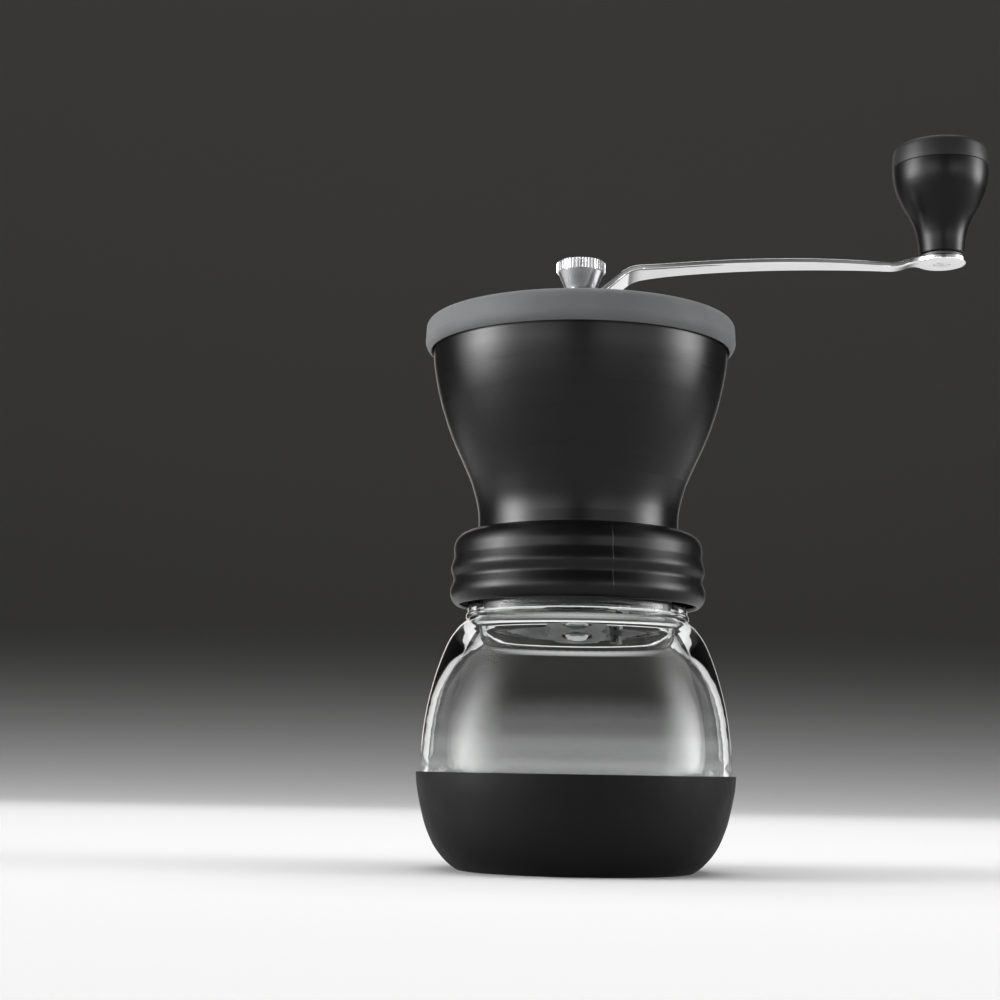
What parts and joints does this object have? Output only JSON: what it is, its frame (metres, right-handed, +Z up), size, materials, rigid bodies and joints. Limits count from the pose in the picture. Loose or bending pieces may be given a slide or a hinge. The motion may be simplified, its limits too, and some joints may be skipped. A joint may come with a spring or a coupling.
{
  "type": "hand crank coffee grinder",
  "caption": "Hand crank coffee grinder: glass jar in a rubber boot, ribbed screw collar, bell-shaped hopper over a ceramic burr mill, soft lid, steel crank with a turning knob.",
  "frame": {"origin": "centre of the flat underside of the boot, on the axis of the shaft", "axes": "+Z up along the shaft, +X along the crank arm at rest, +Y away from the viewer of the picture"},
  "size_m": [0.1727, 0.095, 0.2236],
  "materials": {
    "clear_glass": "clear, thick-walled",
    "boot_rubber": "matte black rubber",
    "collar_plastic": "matte black, moulded",
    "hopper_metal": "dark semi-gloss over fine turning lines",
    "inner_plastic": "black moulded plastic",
    "bush_plastic": "off-white bearing plastic",
    "ceramic": "sintered white ceramic, matt",
    "polished_steel": "polished and lightly brushed stainless",
    "plain_steel": "plain turned steel",
    "dark_steel": "blackened screws",
    "spring_steel": "spring wire",
    "brass": "turned brass",
    "lid_silicone": "frosted grey silicone",
    "seal_silicone": "milky silicone",
    "knob_plastic": "satin black plastic"
  },
  "bodies": {
    "jar": {"glass_jar": "clear_glass", "base_boot": "boot_rubber"},
    "seal": {"jar_gasket": "seal_silicone"},
    "mill": {"threaded_collar": "collar_plastic", "hopper": "hopper_metal", "bearing_bridge": "inner_plastic", "upper_bush": "bush_plastic", "lower_bush": "bush_plastic", "bridge_screws": "dark_steel", "retainer_screws": "dark_steel", "outer_burr": "ceramic", "burr_retainer": "inner_plastic"},
    "spindle": {"drive_shaft": "plain_steel", "shaft_circlip": "spring_steel", "thrust_washer": "plain_steel", "grind_spring": "spring_steel"},
    "cone": {"inner_burr": "ceramic", "burr_hub": "inner_plastic", "detent_washer": "plain_steel"},
    "adjuster": {"adjusting_nut": "inner_plastic", "adjuster_insert": "brass"},
    "lid": {"hopper_lid": "lid_silicone"},
    "crank": {"crank_arm": "polished_steel", "knob_axle": "polished_steel", "knob_washer": "collar_plastic", "knob_retainer": "spring_steel"},
    "knob": {"knob_grip": "knob_plastic", "knob_cap": "knob_plastic"},
    "nut_seat": {"nut_washer": "polished_steel"},
    "nut": {"thumb_nut": "polished_steel"}
  },
  "joints": [
    {"name": "jar_lift", "type": "slide", "parent": "jar", "child": "seal", "axis": [0, 0, 1], "range_m": [0, 0.01]},
    {"name": "jar_unscrew", "type": "hinge", "parent": "seal", "child": "mill", "pos_m": [0, 0, 0.09], "axis": [0, 0, 1], "range_deg": [0, 720]},
    {"name": "crank_turn", "type": "hinge", "parent": "mill", "child": "spindle", "pos_m": [0, 0, 0.13], "axis": [0, 0, 1], "continuous": true},
    {"name": "grind_gap", "type": "slide", "parent": "spindle", "child": "cone", "axis": [0, 0, 1], "range_m": [-0.002, 0.0005], "deforming": ["grind_spring"]},
    {"name": "adjuster_turn", "type": "hinge", "parent": "cone", "child": "adjuster", "pos_m": [0, 0, 0.074], "axis": [0, 0, 1], "range_deg": [-720, 180]},
    {"name": "lid_lift", "type": "slide", "parent": "mill", "child": "lid", "axis": [0, 0, 1], "range_m": [0, 0.045]},
    {"name": "crank_lift", "type": "slide", "parent": "spindle", "child": "crank", "axis": [0, 0, 1], "range_m": [0, 0.045]},
    {"name": "knob_spin", "type": "hinge", "parent": "crank", "child": "knob", "pos_m": [0.1106, 0, 0.2], "axis": [0, 0, 1], "continuous": true},
    {"name": "nut_lift", "type": "slide", "parent": "crank", "child": "nut_seat", "axis": [0, 0, 1], "range_m": [0, 0.008]},
    {"name": "nut_turn", "type": "hinge", "parent": "nut_seat", "child": "nut", "pos_m": [0, 0, 0.18], "axis": [0, 0, 1], "range_deg": [0, 3600]}
  ],
  "couplings": [
    {"joint": "jar_lift", "follows": "jar_unscrew", "m_per_rad": 0.00079577},
    {"joint": "adjuster_turn", "follows": "grind_gap", "rad_per_m": 6283.2},
    {"joint": "crank_lift", "follows": "lid_lift", "ratio": 1},
    {"joint": "nut_turn", "follows": "nut_lift", "rad_per_m": 7854}
  ]
}
